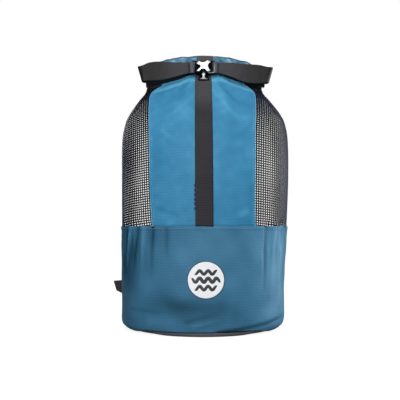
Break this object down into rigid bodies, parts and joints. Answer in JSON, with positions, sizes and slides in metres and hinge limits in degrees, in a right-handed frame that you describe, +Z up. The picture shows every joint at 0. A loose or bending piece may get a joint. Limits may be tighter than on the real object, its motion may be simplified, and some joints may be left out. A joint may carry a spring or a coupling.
{
  "type": "mesh dive gear backpack",
  "caption": "Roll-top backpack with a cloth base, cloth front and back panels, open mesh sides, folded closing bands and a front buckle.",
  "frame": {"origin": "middle of the floor panel's flat underside, below the middle of the front webbing", "axes": "+Z up along the bag, -Y towards the front with the buckle and patch, +X to the right as the front is seen"},
  "size_m": [0.3568, 0.3217, 0.5386],
  "materials": {
    "panel_cloth": "woven nylon with a slight sheen",
    "base_cloth": "coated ripstop nylon",
    "side_mesh": "coated open mesh",
    "webbing": "ribbed webbing",
    "band_cloth": "stiff coated tape",
    "floor_cloth": "coated cloth",
    "pad_cloth": "padded cloth",
    "black_plastic": "glossy",
    "slide_plastic": "moulded",
    "buckle_alloy": "satin",
    "patch": "printed"
  },
  "bodies": {
    "root": {"base_wall": "base_cloth", "floor_panel": "floor_cloth", "front_panel": "panel_cloth", "back_panel": "panel_cloth", "mesh_left": "side_mesh", "mesh_right": "side_mesh", "front_strip": "webbing", "back_strip": "webbing", "patch": "patch", "roll_wrap": "panel_cloth", "mouth_band": "band_cloth", "roll_strip": "webbing", "closure_band_left": "band_cloth", "closure_band_right": "band_cloth", "webbing_loop_left": "webbing", "webbing_loop_right": "webbing", "buckle_frame_left": "black_plastic", "buckle_frame_right": "black_plastic", "buckle_cross": "buckle_alloy", "latch": "black_plastic", "latch_rivet": "buckle_alloy", "anchor_tab_left": "webbing", "anchor_tab_right": "webbing", "shoulder_pad_left": "pad_cloth", "shoulder_pad_right": "pad_cloth", "strap_web_left": "webbing", "strap_web_right": "webbing", "strap_slide_left": "slide_plastic", "strap_slide_right": "slide_plastic"}
  },
  "joints": []
}
